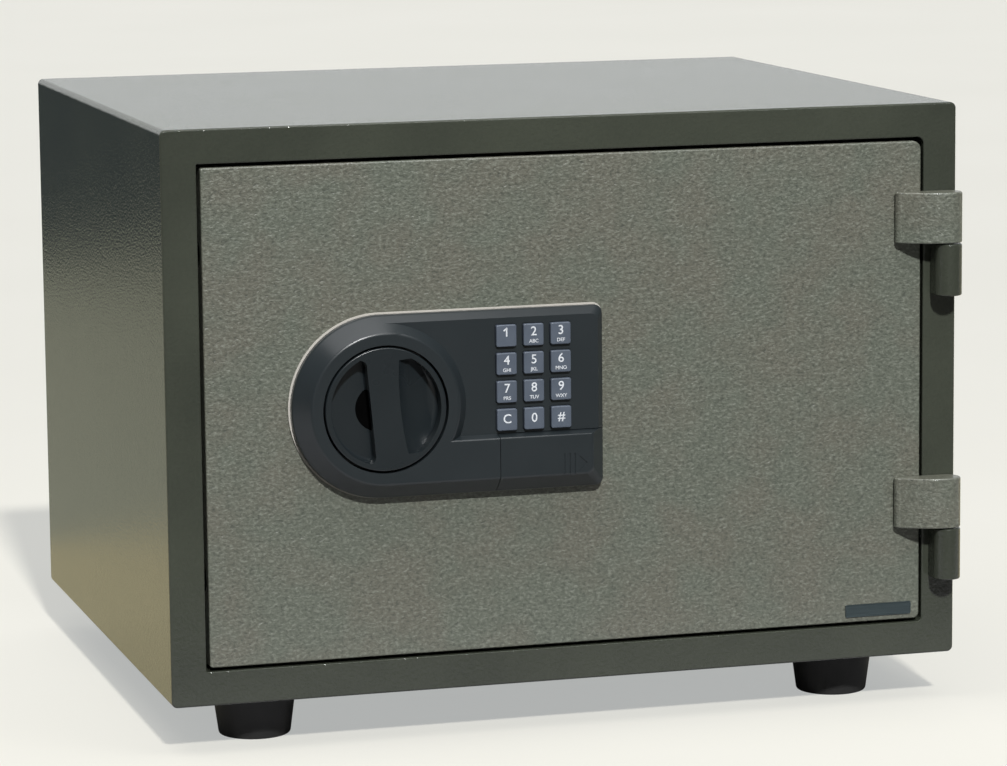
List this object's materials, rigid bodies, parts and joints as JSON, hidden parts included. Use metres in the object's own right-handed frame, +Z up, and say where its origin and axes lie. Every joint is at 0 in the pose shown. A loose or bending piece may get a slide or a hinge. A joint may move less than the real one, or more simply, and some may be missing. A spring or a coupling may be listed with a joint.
{
  "type": "fireproof safe",
  "caption": "Small floor-standing fireproof safe with a flush hinged door, turning knob, keypad, sliding battery cover and bolt work inside the door.",
  "frame": {"origin": "on the floor, under the middle of the whole safe with its door shut", "axes": "+Z up, +X to the right seen from the front, +Y from the front towards the back; the door faces -Y"},
  "size_m": [0.412, 0.3494, 0.31],
  "materials": {
    "body_paint": "satin",
    "door_paint": "satin",
    "liner_paint": "matte",
    "insulation": "matte",
    "lock_plastic": "satin",
    "key_plastic": "satin",
    "plain_steel": "satin",
    "chromed_steel": "polished",
    "foot_rubber": "matte",
    "circuit_board": "satin",
    "cell_sleeve": "gloss"
  },
  "bodies": {
    "cabinet": {"outer_shell": "body_paint", "front_frame": "body_paint", "back_panel": "body_paint", "fire_fill": "insulation", "inner_liner": "liner_paint", "foot_front_left": "foot_rubber", "foot_front_right": "foot_rubber", "foot_back_left": "foot_rubber", "foot_back_right": "foot_rubber", "foot_screw_front_left": "plain_steel", "foot_screw_front_right": "plain_steel", "foot_screw_back_left": "plain_steel", "foot_screw_back_right": "plain_steel", "hinge_knuckle_lower": "body_paint", "hinge_knuckle_upper": "body_paint", "hinge_pin_lower": "plain_steel", "hinge_pin_upper": "plain_steel"},
    "door": {"door_panel": "door_paint", "door_fill": "insulation", "door_inner_cover": "liner_paint", "door_seal": "foot_rubber", "cover_screw_lower_left": "plain_steel", "cover_screw_lower_right": "plain_steel", "cover_screw_upper_left": "plain_steel", "cover_screw_upper_right": "plain_steel", "hinge_lug_lower": "door_paint", "hinge_lug_upper": "door_paint", "fixed_bolt_lower": "chromed_steel", "fixed_bolt_upper": "chromed_steel", "lock_housing": "lock_plastic", "bolt_guide": "plain_steel", "solenoid": "plain_steel", "keypad_board": "circuit_board", "battery_tray": "lock_plastic", "cell_1": "cell_sleeve", "cell_2": "cell_sleeve", "cell_3": "cell_sleeve", "cell_4": "cell_sleeve"},
    "knob": {"knob": "lock_plastic", "knob_spindle": "plain_steel"},
    "bolt_work": {"bolt_bar": "plain_steel", "live_bolt_lower": "chromed_steel", "live_bolt_upper": "chromed_steel"},
    "plunger": {"solenoid_plunger": "chromed_steel"},
    "battery_cover": {"battery_cover": "lock_plastic"},
    "key_1": {"key_1": "key_plastic"},
    "key_2": {"key_2": "key_plastic"},
    "key_3": {"key_3": "key_plastic"},
    "key_4": {"key_4": "key_plastic"},
    "key_5": {"key_5": "key_plastic"},
    "key_6": {"key_6": "key_plastic"},
    "key_7": {"key_7": "key_plastic"},
    "key_8": {"key_8": "key_plastic"},
    "key_9": {"key_9": "key_plastic"},
    "key_clear": {"key_clear": "key_plastic"},
    "key_0": {"key_0": "key_plastic"},
    "key_hash": {"key_hash": "key_plastic"}
  },
  "joints": [
    {"name": "door_swing", "type": "hinge", "parent": "cabinet", "child": "door", "pos_m": [0.199, -0.1677, 0.1675], "axis": [0, 0, 1], "range_deg": [0, 180]},
    {"name": "knob_turn", "type": "hinge", "parent": "door", "child": "knob", "pos_m": [-0.0987, -0.1683, 0.1702], "axis": [0, -1, 0], "range_deg": [0, 90]},
    {"name": "bolt_slide", "type": "slide", "parent": "door", "child": "bolt_work", "axis": [-1, 0, 0], "range_m": [0, 0.014]},
    {"name": "plunger_pull", "type": "slide", "parent": "door", "child": "plunger", "axis": [0, 0, 1], "range_m": [0, 0.004], "stiffness_N_per_m": 60, "springref_m": -0.004},
    {"name": "key_1_press", "type": "slide", "parent": "door", "child": "key_1", "axis": [0, 1, 0], "range_m": [0, 0.001], "stiffness_N_per_m": 600, "springref_m": -0.0003},
    {"name": "key_2_press", "type": "slide", "parent": "door", "child": "key_2", "axis": [0, 1, 0], "range_m": [0, 0.001], "stiffness_N_per_m": 600, "springref_m": -0.0003},
    {"name": "key_3_press", "type": "slide", "parent": "door", "child": "key_3", "axis": [0, 1, 0], "range_m": [0, 0.001], "stiffness_N_per_m": 600, "springref_m": -0.0003},
    {"name": "key_4_press", "type": "slide", "parent": "door", "child": "key_4", "axis": [0, 1, 0], "range_m": [0, 0.001], "stiffness_N_per_m": 600, "springref_m": -0.0003},
    {"name": "key_5_press", "type": "slide", "parent": "door", "child": "key_5", "axis": [0, 1, 0], "range_m": [0, 0.001], "stiffness_N_per_m": 600, "springref_m": -0.0003},
    {"name": "key_6_press", "type": "slide", "parent": "door", "child": "key_6", "axis": [0, 1, 0], "range_m": [0, 0.001], "stiffness_N_per_m": 600, "springref_m": -0.0003},
    {"name": "key_7_press", "type": "slide", "parent": "door", "child": "key_7", "axis": [0, 1, 0], "range_m": [0, 0.001], "stiffness_N_per_m": 600, "springref_m": -0.0003},
    {"name": "key_8_press", "type": "slide", "parent": "door", "child": "key_8", "axis": [0, 1, 0], "range_m": [0, 0.001], "stiffness_N_per_m": 600, "springref_m": -0.0003},
    {"name": "key_9_press", "type": "slide", "parent": "door", "child": "key_9", "axis": [0, 1, 0], "range_m": [0, 0.001], "stiffness_N_per_m": 600, "springref_m": -0.0003},
    {"name": "key_clear_press", "type": "slide", "parent": "door", "child": "key_clear", "axis": [0, 1, 0], "range_m": [0, 0.001], "stiffness_N_per_m": 600, "springref_m": -0.0003},
    {"name": "key_0_press", "type": "slide", "parent": "door", "child": "key_0", "axis": [0, 1, 0], "range_m": [0, 0.001], "stiffness_N_per_m": 600, "springref_m": -0.0003},
    {"name": "key_hash_press", "type": "slide", "parent": "door", "child": "key_hash", "axis": [0, 1, 0], "range_m": [0, 0.001], "stiffness_N_per_m": 600, "springref_m": -0.0003},
    {"name": "battery_cover_slide", "type": "slide", "parent": "door", "child": "battery_cover", "axis": [1, 0, 0], "range_m": [0, 0.06]}
  ],
  "couplings": [
    {"joint": "bolt_slide", "follows": "knob_turn", "m_per_rad": 0.008912}
  ]
}
